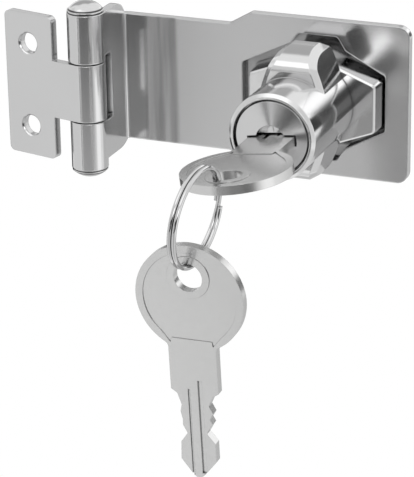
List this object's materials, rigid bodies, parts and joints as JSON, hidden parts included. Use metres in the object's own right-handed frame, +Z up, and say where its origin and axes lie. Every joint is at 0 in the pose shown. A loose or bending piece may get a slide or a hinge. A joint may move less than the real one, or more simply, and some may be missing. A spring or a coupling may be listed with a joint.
{
  "type": "keyed hasp lock",
  "caption": "Keyed hasp lock: offset strap on a pinned hinge leaf, closed over a base with a winged turn knob, key in the plug, spare key on a split ring.",
  "frame": {"origin": "the lock's turning axis where it meets the mounting plane of the base", "axes": "+Y into the door along the lock's turning axis, +Z up along the hinge pin, +X away from the hinge"},
  "size_m": [0.0845, 0.0737, 0.078],
  "materials": {
    "sheet": "nickel plated sheet steel, satin",
    "pin": "nickel plated steel, satin",
    "cast": "plated die casting, bright",
    "plug": "plated, fine turned",
    "wafer": "plain brass",
    "works": "zinc plated steel",
    "spring": "spring steel",
    "key": "nickel plated brass, satin",
    "ring": "nickel plated wire, bright"
  },
  "bodies": {
    "base": {"lock_base": "cast", "hasp_strap": "sheet", "hinge_pin": "pin", "hinge_pin_cap": "pin", "spring_washer": "spring"},
    "leaf": {"hinge_leaf": "sheet"},
    "turn_knob": {"knob": "cast", "retaining_ring": "spring"},
    "plug": {"lock_plug": "plug", "wafer_1": "wafer", "wafer_2": "wafer", "wafer_3": "wafer", "wafer_4": "wafer", "wafer_5": "wafer", "wafer_springs": "spring", "keeper_washer": "works", "keeper_screw": "works"},
    "bolt": {"locking_bolt": "works"},
    "key": {"key_1": "key"},
    "ring": {"key_ring": "ring"},
    "spare_key": {"key_2": "key"}
  },
  "joints": [
    {"name": "leaf_hinge", "type": "hinge", "parent": "base", "child": "leaf", "pos_m": [-0.04646, -0.01579, 0], "axis": [0, 0, -1], "range_deg": [-184, 75]},
    {"name": "knob_turn", "type": "hinge", "parent": "base", "child": "turn_knob", "pos_m": [0, -0.009, 0], "axis": [0, -1, 0], "range_deg": [0, 90]},
    {"name": "plug_turn", "type": "hinge", "parent": "turn_knob", "child": "plug", "pos_m": [0, -0.02, 0], "axis": [0, -1, 0], "range_deg": [-90, 0]},
    {"name": "bolt_slide", "type": "slide", "parent": "turn_knob", "child": "bolt", "axis": [0, 0, 1], "range_m": [0, 0.00156]},
    {"name": "key_slide", "type": "slide", "parent": "plug", "child": "key", "axis": [0, -1, 0], "range_m": [0, 0.024]},
    {"name": "ring_turn", "type": "hinge", "parent": "key", "child": "ring", "pos_m": [-0.0027, -0.06363, -0.00518], "axis": [0.9906, -0.0745, -0.1151], "range_deg": [-12, 12]},
    {"name": "spare_key_swing", "type": "hinge", "parent": "ring", "child": "spare_key", "pos_m": [-0.00391, -0.06514, -0.01457], "axis": [0, 1, 0], "range_deg": [-12, 12]}
  ],
  "couplings": [
    {"joint": "bolt_slide", "follows": "plug_turn", "m_per_rad": -0.00099035}
  ]
}
